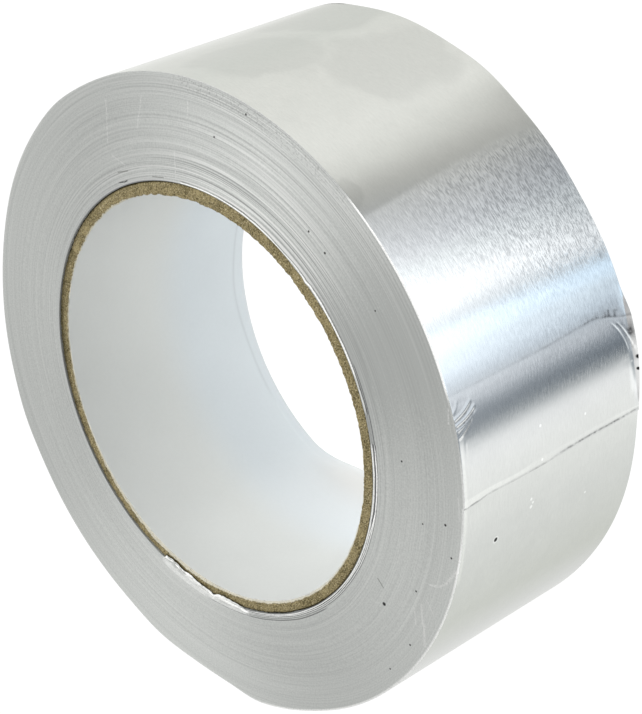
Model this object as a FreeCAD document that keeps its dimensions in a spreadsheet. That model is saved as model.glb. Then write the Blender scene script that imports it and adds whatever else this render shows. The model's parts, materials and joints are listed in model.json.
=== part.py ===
import FreeCAD, Part
import math
import os
import Sketcher
from FreeCAD import Vector

# A roll of aluminium foil tape, standing on its side face.
#
# The frame: +Z is the roll's axis, the origin is the centre of the face that the roll stands on, and
# -Y passes through the tape's free end. Lengths are in millimetres.
#
# Three pieces: the wound tape, the board core that it is wound on, and the core's white paper lining.
# The turns have crept a little along the axis, as they do in a roll that is wound tight: the outer
# turns lie flush, and from there inwards each turn stands slightly higher, up to the core.

DIMENSIONS = [
    # alias, value, meaning
    ("bore_diameter", 76.2, "clear bore of a 3 inch core"),
    ("lining_thickness", 0.4, "white paper ply inside the core"),
    ("board_wall", 2.0, "brown board of the core"),
    ("core_recess", 0.1, "each end of the core below the turns beside it"),
    ("wound_diameter", 119.0, "over the outermost turn, at the free end"),
    ("tape_width", 45.0, "slit width of the tape"),
    ("tape_thickness", 0.133, "foil, adhesive and liner, which is the step at the free end"),
    ("inner_rise", 1.0, "height of the innermost turns above the outer turns"),
    ("flush_rim", 5.5, "width of the ring of outer turns that lie flush"),
]

doc = FreeCAD.newDocument("foil_tape_roll")
sheet = doc.addObject("Spreadsheet::Sheet", "Dimensions")
for row, (alias, value, meaning) in enumerate(DIMENSIONS, start=1):
    sheet.set(f"A{row}", meaning)
    sheet.set(f"B{row}", str(value))
    sheet.setAlias(f"B{row}", alias)
doc.recompute()

# What several features take from the sheet, as expressions.
BORE_RADIUS = "Dimensions.bore_diameter / 2"
LINING_RADIUS = f"{BORE_RADIUS} + Dimensions.lining_thickness"
CORE_RADIUS = f"{LINING_RADIUS} + Dimensions.board_wall"
FLUSH_RADIUS = "Dimensions.wound_diameter / 2 - Dimensions.flush_rim"
CORE_LENGTH = "Dimensions.tape_width - 2 * Dimensions.core_recess"
CORE_FOOT = "Dimensions.inner_rise + Dimensions.core_recess"
TOP_OF_TURNS = "Dimensions.tape_width + Dimensions.inner_rise"


def size(expression):
    """The number that an expression on the sheet has now."""
    return sheet.evalExpression(expression)


def new_body(name):
    """A body whose label names its STEP file."""
    body = doc.addObject("PartDesign::Body", name)
    body.Label = name
    return body


def new_sketch(body, name, plane):
    """An empty sketch on one of the body's own origin planes."""
    sketch = body.newObject("Sketcher::SketchObject", name)
    origin_plane = next(f for f in body.Origin.OriginFeatures if f.Role == plane)
    sketch.AttachmentSupport = (origin_plane, [""])
    sketch.MapMode = "FlatFace"
    return sketch


def dimension(sketch, kind, *where, expression):
    """Adds a constraint whose value is bound to an expression on the sheet."""
    index = sketch.addConstraint(Sketcher.Constraint(kind, *where, size(expression)))
    sketch.setExpression(f"Constraints[{index}]", expression)


def relate(sketch, kind, *where):
    """Adds a constraint that has no value."""
    sketch.addConstraint(Sketcher.Constraint(kind, *where))


def draw_circle(sketch, radius):
    """A circle about the origin."""
    circle = Part.Circle(Vector(0, 0, 0), Vector(0, 0, 1), size(radius))
    index = sketch.addGeometry(circle)
    relate(sketch, "Coincident", index, 3, -1, 1)
    dimension(sketch, "Radius", index, expression=radius)


def draw_profile(sketch, corners):
    """A closed outline of straight edges. A corner is two expressions, and None is on that axis."""
    places = [Vector(size(x or "0"), size(y or "0"), 0) for x, y in corners]
    count = len(corners)
    for index in range(count):
        sketch.addGeometry(Part.LineSegment(places[index], places[(index + 1) % count]))
    for index, (x, y) in enumerate(corners):
        relate(sketch, "Coincident", index, 2, (index + 1) % count, 1)
        if x is None:
            relate(sketch, "PointOnObject", index, 1, -2)
        else:
            dimension(sketch, "DistanceX", -1, 1, index, 1, expression=x)
        if y is None:
            relate(sketch, "PointOnObject", index, 1, -1)
        else:
            dimension(sketch, "DistanceY", -1, 1, index, 1, expression=y)


def draw_outer_turn(sketch):
    """The outermost turn seen along the axis: a spiral of four quarter arcs and the step that closes it.

    Each quarter turns about a centre of its own and is a quarter of the tape's thickness tighter than
    the one before, so neighbouring arcs are tangent and one turn comes in by one thickness.
    """
    step = size("Dimensions.tape_thickness / 4")
    centres = [Vector(0, 0, 0), Vector(step, 0, 0), Vector(step, step, 0), Vector(0, step, 0)]
    for quarter, centre in enumerate(centres):
        radius = size("Dimensions.wound_diameter / 2") - quarter * step
        start = (quarter - 1) * math.pi / 2
        circle = Part.Circle(centre, Vector(0, 0, 1), radius)
        sketch.addGeometry(Part.ArcOfCircle(circle, start, start + math.pi / 2))
    outside = Vector(0, -size("Dimensions.wound_diameter / 2"), 0)
    inside = outside + Vector(0, size("Dimensions.tape_thickness"), 0)
    free_end = sketch.addGeometry(Part.LineSegment(inside, outside))

    relate(sketch, "Coincident", 0, 3, -1, 1)
    for quarter in range(4):
        start_is, end_is = ("Vertical", "Horizontal") if quarter % 2 == 0 else ("Horizontal", "Vertical")
        relate(sketch, start_is, quarter, 3, quarter, 1)
        relate(sketch, end_is, quarter, 3, quarter, 2)
        radius = f"Dimensions.wound_diameter / 2 - {quarter} * Dimensions.tape_thickness / 4"
        dimension(sketch, "Radius", quarter, expression=radius)
    for quarter in range(3):
        relate(sketch, "Coincident", quarter, 2, quarter + 1, 1)
    relate(sketch, "Coincident", 3, 2, free_end, 1)
    relate(sketch, "Coincident", free_end, 2, 0, 1)


def pad(body, name, sketch, length):
    """Raises a sketch along +Z."""
    feature = body.newObject("PartDesign::Pad", name)
    feature.Profile = sketch
    feature.setExpression("Length", length)
    return feature


def groove(body, name, corners):
    """Turns away the ring whose section in the XZ plane has these corners."""
    sketch = new_sketch(body, f"{name}_section", "XZ_Plane")
    draw_profile(sketch, corners)
    feature = body.newObject("PartDesign::Groove", name)
    feature.Profile = sketch
    feature.ReferenceAxis = (sketch, ["V_Axis"])
    feature.Angle = 360
    return feature


def tube(name, inner_radius, outer_radius):
    """A tube of the core's length, at the core's height."""
    body = new_body(name)
    sketch = new_sketch(body, f"{name}_section", "XY_Plane")
    draw_circle(sketch, inner_radius)
    draw_circle(sketch, outer_radius)
    pad(body, f"{name}_length", sketch, CORE_LENGTH)
    body.setExpression("Placement.Base.z", CORE_FOOT)
    return body


def wound_tape():
    """All the turns as one solid: the spiral outside, both side faces, and the hole for the core."""
    body = new_body("tape_roll")
    outline = new_sketch(body, "outer_turn", "XY_Plane")
    draw_outer_turn(outline)
    beyond = "Dimensions.wound_diameter / 2 + Dimensions.inner_rise"
    above = f"{TOP_OF_TURNS} + Dimensions.inner_rise"
    pad(body, "turns", outline, above)
    groove(body, "upper_side", [
        (None, TOP_OF_TURNS),
        (CORE_RADIUS, TOP_OF_TURNS),
        (FLUSH_RADIUS, "Dimensions.tape_width"),
        (beyond, "Dimensions.tape_width"),
        (beyond, f"{above} + Dimensions.inner_rise"),
        (None, f"{above} + Dimensions.inner_rise"),
    ])
    groove(body, "lower_side", [
        (None, None),
        (FLUSH_RADIUS, None),
        (CORE_RADIUS, "Dimensions.inner_rise"),
        (None, "Dimensions.inner_rise"),
    ])
    hole = new_sketch(body, "core_hole_section", "XY_Plane")
    draw_circle(hole, CORE_RADIUS)
    pocket = body.newObject("PartDesign::Pocket", "core_hole")
    pocket.Profile = hole
    pocket.Type = "ThroughAll"
    pocket.Reversed = True
    return body


def ring_volume(inner_radius, outer_radius, length):
    """The volume of a plain tube."""
    return math.pi * (outer_radius ** 2 - inner_radius ** 2) * length


pieces = [
    wound_tape(),
    tube("cardboard_core", LINING_RADIUS, CORE_RADIUS),
    tube("core_lining", BORE_RADIUS, LINING_RADIUS),
]
doc.recompute()

for item in doc.Objects:
    if "Invalid" in item.State or "Error" in item.State:
        raise RuntimeError(f"{item.Name} did not compute: {item.State}")
for body in pieces:
    if body.Shape.isNull() or not body.Shape.isValid() or len(body.Shape.Solids) != 1:
        raise RuntimeError(f"{body.Label} is not one valid solid")

# The side faces rise by the same amount, so the turns' volume is that of a plain ring of the tape's
# width, less what the spiral comes in by.
tape, core, lining = (body.Shape.Volume for body in pieces)
full_ring = ring_volume(size(CORE_RADIUS), size("Dimensions.wound_diameter / 2"), size("Dimensions.tape_width"))
print(f"turns: {tape:.0f} mm3, {tape / full_ring:.4f} of a plain ring")
print(f"core: {core:.0f} mm3, lining: {lining:.0f} mm3")
print(f"length of tape: {tape / size('Dimensions.tape_width * Dimensions.tape_thickness') / 1000:.1f} m")

os.makedirs("parts", exist_ok=True)
for body in pieces:
    body.Shape.exportStep(f"parts/{body.Label}.step")
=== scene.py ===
# %% [markdown]
# # A roll of aluminium foil tape
# The roll is 45 m of soft aluminium foil with an adhesive back and a paper liner, wound on a board tube.
# It stands on one side face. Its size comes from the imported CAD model, which this script loads as a
# frame: everything here is in metres, +Z runs along the roll's axis, and the tape's free end is at -Y.

# %% Load the frame
import json
import math

import bpy
import numpy as np
from mathutils import Matrix, Vector


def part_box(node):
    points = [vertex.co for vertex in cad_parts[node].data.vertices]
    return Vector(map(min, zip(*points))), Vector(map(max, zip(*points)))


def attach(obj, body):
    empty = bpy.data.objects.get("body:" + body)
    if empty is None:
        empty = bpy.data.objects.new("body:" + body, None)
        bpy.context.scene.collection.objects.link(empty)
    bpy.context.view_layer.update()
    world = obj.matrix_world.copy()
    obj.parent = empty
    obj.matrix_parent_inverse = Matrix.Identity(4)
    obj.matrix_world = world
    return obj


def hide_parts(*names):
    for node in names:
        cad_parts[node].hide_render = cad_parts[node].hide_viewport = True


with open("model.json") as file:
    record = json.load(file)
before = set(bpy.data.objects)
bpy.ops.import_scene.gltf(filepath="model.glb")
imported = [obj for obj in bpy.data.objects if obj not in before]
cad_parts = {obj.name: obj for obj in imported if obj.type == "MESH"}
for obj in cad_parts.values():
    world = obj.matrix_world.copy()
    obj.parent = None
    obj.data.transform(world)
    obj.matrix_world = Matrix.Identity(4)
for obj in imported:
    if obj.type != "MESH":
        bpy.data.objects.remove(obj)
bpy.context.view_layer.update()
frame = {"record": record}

MM = 0.001

# %% [markdown]
# ## The sizes that everything follows
# Nothing is measured twice. The CAD boxes give the roll's radius, the core's and the lining's, and the
# record's bore mount gives the clear bore. The turns crept along the axis while they were wound, so the
# inner ones stand a millimetre above the outer ones. The core is centred on the crept turns, which is
# why the middle of its box tells how far they crept.

# %% Read the sizes
roll_low, roll_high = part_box("tape_roll")
core_low, core_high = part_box("cardboard_core")
_, lining_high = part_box("core_lining")
bore_mount = next(m for m in frame["record"]["mounts"] if m["name"] == "bore")

SHARP_EDGE = math.radians(40)
ROLL_RADIUS = -roll_low[1]
CORE_RADIUS = core_high[0]
LINING_RADIUS = lining_high[0]
BORE_RADIUS = bore_mount["dims"]["r_mm"] * MM
ROLL_TOP = roll_high[2]
CORE_FOOT, CORE_TOP = core_low[2], core_high[2]
CREEP = CORE_FOOT + CORE_TOP - ROLL_TOP
TAPE_WIDTH = ROLL_TOP - CREEP
FLUSH_RIM = 5.5 * MM
# The outside is a spiral, so the roll's box reaches 3/4 of a tape's thickness less at -X than at +X.
TAPE_THICKNESS = (roll_low[0] + roll_high[0]) * 4 / 3
FREE_END = math.radians(-90)

print(f"roll {2 * ROLL_RADIUS / MM:.1f} mm, tape {TAPE_WIDTH / MM:.1f} mm, creep {CREEP / MM:.2f} mm")
print(f"core {2 * CORE_RADIUS / MM:.1f} mm, bore {2 * BORE_RADIUS / MM:.1f} mm")

# %% [markdown]
# ## The camera
# The roll is looked down on from about 39 degrees, and the camera is turned on its side, so that the
# roll's axis runs from the lower left to the upper right of the picture and the side face is on the
# left. A long lens keeps the near and far rims almost the same size.

# %% Place the camera
VIEW_AZIMUTH = math.radians(33.56)
VIEW_ELEVATION = math.radians(38.96)
VIEW_ROLL = math.radians(-115.21)
VIEW_DISTANCE = 401.3 * MM
VIEW_AIM = Vector((0.0, -2.55 * MM, 19.88 * MM))
LENS = 110.65


def facing(azimuth, elevation):
    """The unit vector from the aim towards a place: azimuth 0 is -Y and turns towards +X."""
    level = math.cos(elevation)
    return Vector((math.sin(azimuth) * level, -math.cos(azimuth) * level, math.sin(elevation)))


def aimed(location, target, roll=0.0):
    """A matrix at location whose -Z looks at target, turned about its line of sight by roll."""
    back = (location - target).normalized()
    right = Vector((0, 0, 1)).cross(back).normalized()
    up = back.cross(right)
    turned = Matrix((right, up, back)).transposed() @ Matrix.Rotation(roll, 3, "Z")
    return Matrix.Translation(location) @ turned.to_4x4()


camera = bpy.data.objects.new("camera", bpy.data.cameras.new("camera"))
camera.data.lens = LENS
camera.data.clip_start, camera.data.clip_end = 0.01, 10.0
view_from = VIEW_AIM + facing(VIEW_AZIMUTH, VIEW_ELEVATION) * VIEW_DISTANCE
camera.matrix_world = aimed(view_from, VIEW_AIM, VIEW_ROLL)
bpy.context.scene.collection.objects.link(camera)
bpy.context.scene.camera = camera
bpy.context.scene.view_settings.view_transform = "Standard"
CAMERA_BEARING = math.atan2(view_from.y, view_from.x)
print(f"camera at {tuple(round(v, 4) for v in view_from)}")

# %% [markdown]
# ## Shader maths as Python
# A material here is a calculation: a mask times a colour, a noise plus a ramp. One small class wraps an
# output of a node, and its operators add Math nodes, so the material reads like the formula it is.

# %% A wire, and the wiring that adds nodes


class Wire:
    """An output of a node. Arithmetic on it adds a Math node and gives that node's output."""

    def __init__(self, wiring, socket):
        self.wiring, self.socket = wiring, socket

    def math(self, operation, *values):
        return self.wiring.add("ShaderNodeMath", {"operation": operation}, list(values))

    def __add__(self, other):
        return self.math("ADD", self, other)

    def __sub__(self, other):
        return self.math("SUBTRACT", self, other)

    def __rsub__(self, other):
        return self.math("SUBTRACT", other, self)

    def __mul__(self, other):
        return self.math("MULTIPLY", self, other)

    def __truediv__(self, other):
        return self.math("DIVIDE", self, other)

    def __pow__(self, other):
        return self.math("POWER", self, other)

    __radd__, __rmul__ = __add__, __mul__

    def out(self, name):
        """Another output of the same node, by its name or place."""
        return Wire(self.wiring, self.socket.node.outputs[name])

    def split(self):
        """The three parts of a vector."""
        x = self.wiring.add("ShaderNodeSeparateXYZ", inputs=[self])
        return x, x.out(1), x.out(2)


class Wiring:
    """The nodes of one material or world."""

    def __init__(self, tree):
        self.tree = tree
        tree.nodes.clear()

    def add(self, kind, settings=None, inputs=None, output=0):
        """Adds a node: its settings first, then its inputs by name or place. Gives one output."""
        node = self.tree.nodes.new(kind)
        for name, value in (settings or {}).items():
            if name == "stops":
                self.set_stops(node.color_ramp, value)
            else:
                setattr(node, name, value)
        named = inputs.items() if isinstance(inputs, dict) else enumerate(inputs or [])
        for key, value in named:
            self.feed(node.inputs[key], value)
        return Wire(self, node.outputs[output]) if node.outputs else None

    def feed(self, socket, value):
        """Links a wire to a socket, or sets its number, colour or vector."""
        if isinstance(value, Wire):
            self.tree.links.new(value.socket, socket)
        elif socket.type == "RGBA":
            socket.default_value = (*value, 1)
        else:
            socket.default_value = value

    @staticmethod
    def set_stops(ramp, stops):
        """Gives a colour ramp its stops, each a place and a colour or a grey level."""
        while len(ramp.elements) > 1:
            ramp.elements.remove(ramp.elements[-1])
        for index, (place, colour) in enumerate(stops):
            stop = ramp.elements[0] if index == 0 else ramp.elements.new(place)
            stop.position = place
            stop.color = (*colour, 1) if isinstance(colour, tuple) else (colour, colour, colour, 1)

    def mix(self, share, first, second):
        """A colour between two colours."""
        node = self.tree.nodes.new("ShaderNodeMix")
        node.data_type = "RGBA"
        for key, value in ((0, share), (6, first), (7, second)):
            self.feed(node.inputs[key], value)
        return Wire(self, node.outputs[2])

    def vector(self, x, y, z):
        """A vector from its three parts."""
        return self.add("ShaderNodeCombineXYZ", inputs=[x, y, z])

    def scaled(self, vector, scale, shift=(0, 0, 0)):
        """A vector times a scale along each axis, plus a shift."""
        inputs = {"Vector": vector, "Scale": scale, "Location": shift}
        return self.add("ShaderNodeMapping", inputs=inputs)

    def between(self, value, low, high, smooth=True):
        """0 below low, 1 above high and a ramp between them. Low may be the larger."""
        kind = "SMOOTHSTEP" if smooth else "LINEAR"
        settings = {"interpolation_type": kind, "clamp": True}
        if low < high:
            return self.add("ShaderNodeMapRange", settings, {0: value, 1: low, 2: high, 3: 0.0, 4: 1.0})
        return self.add("ShaderNodeMapRange", settings, {0: value, 1: high, 2: low, 3: 1.0, 4: 0.0})

    def attribute(self, name):
        """A value that the mesh carries at each of its points."""
        return self.add("ShaderNodeAttribute", {"attribute_name": name}, output="Fac")

    def noise(self, vector, scale, detail=2.0, roughness=0.5):
        """A cloud of values round 0.5."""
        inputs = {"Vector": vector, "Scale": scale, "Detail": detail, "Roughness": roughness}
        return self.add("ShaderNodeTexNoise", {"noise_dimensions": "3D"}, inputs)


def new_finish(name):
    """A material with an empty tree, and its wiring."""
    material = bpy.data.materials.new(name)
    material.use_nodes = True
    return material, Wiring(material.node_tree)


# %% [markdown]
# ## The studio
# Foil shows little of its own: what is seen on it is the room. The camera and soft matt surfaces see a
# plain white room. Glossy rays see the same room with its parts. Low down these are strips by compass
# bearing: a white table, a darker gap past its edge, a window's glow, a grey wall and a broad white
# panel. They give the foil its bands, and foil rolled along its length smears them across the tape and
# keeps them narrow round the roll. High up is an even ceiling, darker on the side of the camera.

# %% The strips of the room, by bearing from the camera
LOW_STRIPS = [
    # degrees anticlockwise from the camera's bearing, and the colour there
    (-180, (0.98, 0.99, 0.96)),
    (-168, (0.92, 0.93, 0.91)),
    (-158, (0.80, 0.81, 0.79)),
    (-148, (0.75, 0.76, 0.74)),
    (-126, (0.66, 0.68, 0.63)),
    (-92, (0.765, 0.785, 0.755)),
    (-75, (0.865, 0.885, 0.855)),
    (-64, (0.925, 0.945, 0.925)),
    (-56, (0.93, 0.95, 0.95)),
    (-54, (0.88, 0.90, 0.90)),
    (-52, (0.62, 0.65, 0.66)),
    (-49, (0.29, 0.32, 0.34)),
    (-46, (0.15, 0.18, 0.21)),
    (-43, (0.15, 0.18, 0.215)),
    (-40, (0.31, 0.35, 0.39)),
    (-37, (0.53, 0.57, 0.62)),
    (-35, (0.56, 0.61, 0.66)),
    (-31, (0.43, 0.49, 0.55)),
    (-28, (0.57, 0.66, 0.75)),
    (-25, (0.69, 0.80, 0.90)),
    (-20, (0.72, 0.84, 0.94)),
    (-18, (0.80, 0.97, 1.12)),
    (-13, (0.76, 0.94, 1.11)),
    (-11, (0.60, 0.70, 0.78)),
    (-9, (0.51, 0.57, 0.62)),
    (-6, (0.72, 0.77, 0.81)),
    (-2, (0.92, 0.96, 0.99)),
    (1, (0.90, 0.94, 0.97)),
    (5, (0.71, 0.75, 0.78)),
    (10, (0.58, 0.63, 0.65)),
    (15, (0.47, 0.50, 0.53)),
    (20, (0.43, 0.455, 0.48)),
    (33, (0.44, 0.455, 0.455)),
    (38, (0.445, 0.455, 0.435)),
    (42, (0.48, 0.485, 0.455)),
    (46, (0.57, 0.575, 0.54)),
    (51, (0.71, 0.72, 0.675)),
    (58, (0.825, 0.835, 0.785)),
    (66, (0.87, 0.88, 0.83)),
    (80, (0.83, 0.84, 0.79)),
    (100, (0.81, 0.82, 0.77)),
    (120, (0.75, 0.77, 0.72)),
    (145, (0.78, 0.79, 0.75)),
    (165, (0.95, 0.96, 0.93)),
    (180, (0.98, 0.99, 0.96)),
]
CEILING = [
    (-180, 0.84), (-165, 0.57), (-150, 0.71), (-130, 0.83), (-105, 0.83), (-80, 0.70), (-50, 0.55),
    (-15, 0.53), (15, 0.57), (45, 0.82), (75, 1.32), (100, 1.52), (115, 1.40), (135, 0.90),
    (150, 0.55), (165, 0.57), (180, 0.84),
]
ROOM_LEVEL = 0.34
# The strips give way to the ceiling between these heights of a ray's direction.
HORIZON = (-0.1, 0.25)
# How far each side's ramp runs past the camera's bearing, in degrees.
RAMP_OVERLAP = 5

world = bpy.data.worlds.new("studio")
bpy.context.scene.world = world
world.use_nodes = True
room = Wiring(world.node_tree)
east, north, height = room.add("ShaderNodeTexCoord", output="Generated").split()
bearing = (north.math("ARCTAN2", north, east) - CAMERA_BEARING) / math.tau + 0.5
bearing = bearing.math("FRACT", bearing)


def seen_round(listed):
    """A colour for each bearing. A ramp holds 32 stops, so each side of the camera has its own."""
    sides = []
    for side in (-1, 1):
        stops = [(b / 360 + 0.5, colour) for b, colour in listed if b * side >= -RAMP_OVERLAP]
        sides.append(room.add("ShaderNodeValToRGB", {"stops": stops}, [bearing]))
    return room.mix(bearing.math("GREATER_THAN", bearing, 0.5), *sides)


low, high = seen_round(LOW_STRIPS), seen_round(CEILING)
both = room.mix(room.between(height, *HORIZON), low, high)
camera_ray = room.add("ShaderNodeLightPath", output="Is Camera Ray")
white = room.add("ShaderNodeBackground", inputs={"Color": (1, 1, 1), "Strength": 1.0})
plain = room.add("ShaderNodeBackground", inputs={"Color": (1, 1, 1), "Strength": ROOM_LEVEL})
parts = room.add("ShaderNodeBackground", inputs={"Color": both, "Strength": 1.0})
unseen = room.add("ShaderNodeMixShader", inputs=[camera_ray.out("Is Glossy Ray"), plain, parts])
whole_room = room.add("ShaderNodeMixShader", inputs=[camera_ray, unseen, white])
room.add("ShaderNodeOutputWorld", inputs={"Surface": whole_room})
print(f"room: {len(LOW_STRIPS)} strips low down, {len(CEILING)} places on the ceiling")

# %% [markdown]
# ### The lamps
# Three soft boxes light the matt surfaces: one behind the camera for the window, and a large one at each
# side, the left one strong. Foil and paper take their shade from these. Glossy rays don't see them, since
# the room's strips already hold what the foil mirrors. They could be spheres or strips as well, but a
# soft box gives the even fall of light down a bore.

# %% The lamps
BLACK, WHITE = (0, 0, 0), (1, 1, 1)
WINDOW_WHITE = (0.97, 0.99, 1.0)
LAMPS = [
    # name, bearing from the camera and elevation in degrees, distance, width and height, level, colour
    ("window", -7, 30, 0.40, 0.22, 0.14, 0.13, WINDOW_WHITE),
    ("left_box", 94, 40, 0.90, 0.60, 0.40, 0.56, WHITE),
    ("right_box", -115, 40, 0.90, 0.60, 0.40, 0.14, WHITE),
]


def soft_box(name, bearing, elevation, distance, width, height, level, colour):
    """A rectangular lamp aimed at the middle of the roll, at a bearing from the camera in degrees.

    level is how bright it makes white paper that faces it: a square lamp's power spreads as
    power / (pi * distance)^2.
    """
    light = bpy.data.lights.new(name, "AREA")
    light.shape = "RECTANGLE"
    light.size, light.size_y = width, height
    light.energy = level * (math.pi * distance) ** 2
    light.color = colour
    lamp = bpy.data.objects.new(name, light)
    lamp.visible_camera = False
    lamp.visible_glossy = False
    target = Vector((0, 0, TAPE_WIDTH / 2))
    azimuth = CAMERA_BEARING - FREE_END + math.radians(bearing)
    place = target + facing(azimuth, math.radians(elevation)) * distance
    lamp.matrix_world = aimed(place, target)
    bpy.context.scene.collection.objects.link(lamp)
    return lamp


for lamp_settings in LAMPS:
    lamp = soft_box(*lamp_settings)
    print(f"{lamp.name}: {lamp.data.energy:.2f} watts")

# %% [markdown]
# ### The table
# The roll stands on a white table. The camera sees it as white with a tenth of its real shading left,
# which is what a lit white sweep looks like, and the roll's shadow stays on it. To the roll it is a matt
# white sheet that also glows, because the light over a white sweep comes from all round.

# %% The table
table = bpy.data.objects.new("table", bpy.data.meshes.new("table"))
TABLE_HALF = 1.5
TABLE_SHADE = (0.9, 0.9, 0.9)
WHITE_SHARE = 0.90
TABLE_GLOW = 1.0
table.data.from_pydata(
    [(-TABLE_HALF, -TABLE_HALF, 0), (TABLE_HALF, -TABLE_HALF, 0), (TABLE_HALF, TABLE_HALF, 0),
     (-TABLE_HALF, TABLE_HALF, 0)],
    [], [(0, 1, 2, 3)],
)
bpy.context.scene.collection.objects.link(table)
table.visible_glossy = False

table_white, sheet = new_finish("table_white")
camera_ray = sheet.add("ShaderNodeLightPath", output="Is Camera Ray")
matt = sheet.add("ShaderNodeBsdfDiffuse", inputs={"Color": TABLE_SHADE})
glow = sheet.add("ShaderNodeEmission", inputs={"Color": WHITE, "Strength": 1.0})
under_light = sheet.add("ShaderNodeEmission", inputs={"Color": WHITE, "Strength": TABLE_GLOW})
lit = sheet.add("ShaderNodeAddShader", inputs=[matt, under_light])
shown = sheet.add("ShaderNodeMixShader", inputs=[camera_ray * WHITE_SHARE, lit, glow])
sheet.add("ShaderNodeOutputMaterial", inputs={"Surface": shown})
table.data.materials.append(table_white)
print(f"table: {2 * TABLE_HALF:.0f} m square")

# %% [markdown]
# ### The window's patch on the table
# The foil's face stands upright, so what it shows most is the table just in front of it: the higher a
# place on the foil, the further out it looks. The window lights a patch of the table that starts a
# little way out from the roll, which is why the foil's highlight is strong near its upper edge and dies
# away towards its foot. Only glossy rays see the patch, so it lights nothing.
# A round mirror shows lines that run out from a point inside it as straight lines along its axis. The
# patch's edges run out from that point, about 0.6 of the radius from the axis towards the camera.

# %% The window's patch
# Degrees from the camera's bearing, and by how many degrees a metre the edge turns further out.
PATCH_EDGE, PATCH_EDGE_TURN, PATCH_FAR_EDGE = 43.7, 175, -56
PATCH_EDGE_SOFT, PATCH_FAR_SOFT = 1, 47
PATCH_DIM, PATCH_DIM_FROM, PATCH_DIM_TO = 0.35, PATCH_EDGE - 7, 6
PATCH_POINT = 0.6 * ROLL_RADIUS
PATCH_START, PATCH_FULL, PATCH_END = 2 * MM, 60 * MM, 0.6
PATCH_LEVEL, TABLE_SHEEN = 0.66, 0.03


def make_window_patch():
    """Light that fades with the bearing from the camera's and with the distance from the roll."""
    material, w = new_finish("window_patch")
    x, y, _ = w.add("ShaderNodeTexCoord", output="Object").split()
    from_point_x = x - PATCH_POINT * math.cos(CAMERA_BEARING)
    from_point_y = y - PATCH_POINT * math.sin(CAMERA_BEARING)
    turned = (y.math("ARCTAN2", from_point_y, from_point_x) - CAMERA_BEARING) * (180 / math.pi)
    bearing = turned.math("WRAP", turned, 180.0, -180.0)
    radius = (x * x + y * y) ** 0.5
    from_edge = bearing + (radius - ROLL_RADIUS) * PATCH_EDGE_TURN
    lit_side = w.between(from_edge, PATCH_EDGE + PATCH_EDGE_SOFT, PATCH_EDGE - PATCH_EDGE_SOFT)
    lit_side = lit_side * (PATCH_DIM + w.between(bearing, PATCH_DIM_FROM, PATCH_DIM_TO) * (1 - PATCH_DIM))
    wedge = lit_side * w.between(bearing, PATCH_FAR_EDGE, PATCH_FAR_EDGE + PATCH_FAR_SOFT, smooth=False)
    out = w.between(radius, ROLL_RADIUS + PATCH_START, ROLL_RADIUS + PATCH_FULL, smooth=False)
    fade = w.between(radius, PATCH_END, PATCH_END / 2)
    level = out * fade * (wedge * PATCH_LEVEL + TABLE_SHEEN)
    colour = w.mix(level, BLACK, WINDOW_WHITE)
    light = w.add("ShaderNodeEmission", inputs={"Color": colour, "Strength": 1.0})
    clear = w.add("ShaderNodeBsdfTransparent")
    both = w.add("ShaderNodeAddShader", inputs=[light, clear])
    w.add("ShaderNodeOutputMaterial", inputs={"Surface": both})
    return material


window_patch = bpy.data.objects.new("window_patch", table.data.copy())
window_patch.data.materials.clear()
window_patch.data.materials.append(make_window_patch())
bpy.context.scene.collection.objects.link(window_patch)
window_patch.visible_camera = False
window_patch.visible_diffuse = False
window_patch.visible_shadow = False
window_patch.visible_transmission = False

# %% [markdown]
# ## Finishes
# Four finishes cover the roll: the bright face of the foil, the cut edges of the turns, raw board and
# white paper. Each reads Object coordinates, which are the frame's own metres, so a grain's size is
# given as features per metre.

# %% Helpers for the finishes


def place_on_roll(wiring):
    """The place on the surface, in metres, as a vector."""
    return wiring.add("ShaderNodeTexCoord", output="Object")


def drawn_along_rings(wiring, place, around, per_metre):
    """Coordinates that follow the rings, so noise read with them is drawn out round the roll."""
    x, y, _ = place.split()
    radius = (x * x + y * y) ** 0.5
    return wiring.vector(x / radius * around, y / radius * around, radius * per_metre)


def spot(wiring, place, past, height, radius, size, core=0.55):
    """1 at a place on the roll and 0 beyond size: past the free end in degrees, the rest in mm."""
    angle = FREE_END + math.radians(past)
    centre = (radius * MM * math.cos(angle), radius * MM * math.sin(angle), height * MM)
    distance = wiring.add("ShaderNodeVectorMath", {"operation": "DISTANCE"}, [place, centre], output=1)
    return wiring.between(distance, size * MM, core * size * MM)


def strayed(wiring, place, per_metre, amount):
    """The place moved about by a noise, which makes the rim of a round mark ragged."""
    inputs = {"Vector": place, "Scale": per_metre, "Detail": 2.0}
    cloud = wiring.add("ShaderNodeTexNoise", {"noise_dimensions": "3D"}, inputs, output="Color")
    scaled = [cloud, (amount,) * 3, (-amount / 2,) * 3]
    shift = wiring.add("ShaderNodeVectorMath", {"operation": "MULTIPLY_ADD"}, scaled)
    return wiring.add("ShaderNodeVectorMath", {"operation": "ADD"}, [place, shift])


def spots(wiring, place, listed, core=0.55):
    """The brightest of several spots at each place."""
    marks = 0.0
    for past, height, radius, size in listed:
        mark = spot(wiring, place, past, height, radius, size, core)
        marks = mark.math("MAXIMUM", mark, marks)
    return marks


def coated(wiring, material, **sockets):
    """Ends a finish with a Principled shader that has these sockets."""
    names = {key.replace("_", " ").title().replace("Ior", "IOR"): value for key, value in sockets.items()}
    shader = wiring.add("ShaderNodeBsdfPrincipled", inputs=names)
    wiring.add("ShaderNodeOutputMaterial", inputs={"Surface": shader})
    return material


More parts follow.
